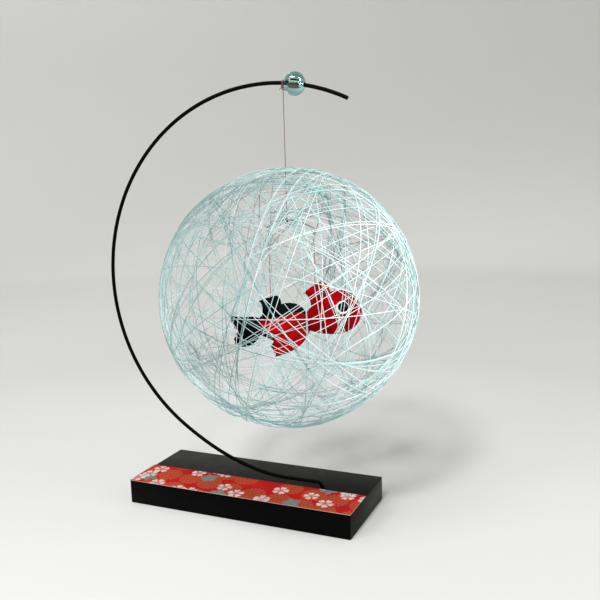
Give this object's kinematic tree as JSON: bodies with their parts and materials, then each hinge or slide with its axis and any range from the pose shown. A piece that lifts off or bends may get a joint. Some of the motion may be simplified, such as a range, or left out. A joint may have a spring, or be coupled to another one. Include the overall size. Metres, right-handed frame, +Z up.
{
  "type": "openwork thread temari ball on a wire stand",
  "caption": "Hollow openwork ball of stiffened aqua thread hung from a bent black wire on a lacquered block, with a red and a black crepe goldfish hung inside it.",
  "frame": {"origin": "middle of the block's underside, on the surface that it stands on", "axes": "+X along the block, towards the wire's foot; +Y to the back, away from the cloth strip; +Z up"},
  "size_m": [0.193, 0.1443, 0.246],
  "materials": {
    "lacquer": "black semi-gloss lacquer over wood",
    "printed_crepe": "crepe printed with blossoms on red",
    "black_wire": "satin black coating",
    "bead_glass": "clear aqua, polished",
    "rose_thread": "twisted dull rose thread",
    "aqua_thread": "pale aqua thread, stiffened",
    "bar_steel": "drawn wire",
    "red_crepe": "padded crepe",
    "black_crepe": "padded crepe",
    "white_felt": "felt",
    "pupil_black": "glossy black"
  },
  "bodies": {
    "root": {"base_block": "lacquer", "cloth_strip": "printed_crepe", "stand_wire": "black_wire", "glass_bead": "bead_glass", "thread_loop": "rose_thread", "hanging_thread": "rose_thread", "ball_net": "aqua_thread", "inner_thread": "rose_thread", "balance_bar": "bar_steel", "bar_knot": "rose_thread", "red_thread": "rose_thread", "black_thread": "rose_thread", "red_fish_body": "red_crepe", "red_fish_dorsal": "red_crepe", "red_fish_tail_left": "red_crepe", "red_fish_tail_right": "red_crepe", "red_fish_eye_left": "white_felt", "red_fish_pupil_left": "pupil_black", "red_fish_eye_right": "white_felt", "red_fish_pupil_right": "pupil_black", "black_fish_body": "black_crepe", "black_fish_dorsal": "black_crepe", "black_fish_tail_left": "black_crepe", "black_fish_tail_right": "black_crepe", "black_fish_eye_left": "white_felt", "black_fish_pupil_left": "pupil_black", "black_fish_eye_right": "white_felt", "black_fish_pupil_right": "pupil_black"}
  },
  "joints": []
}
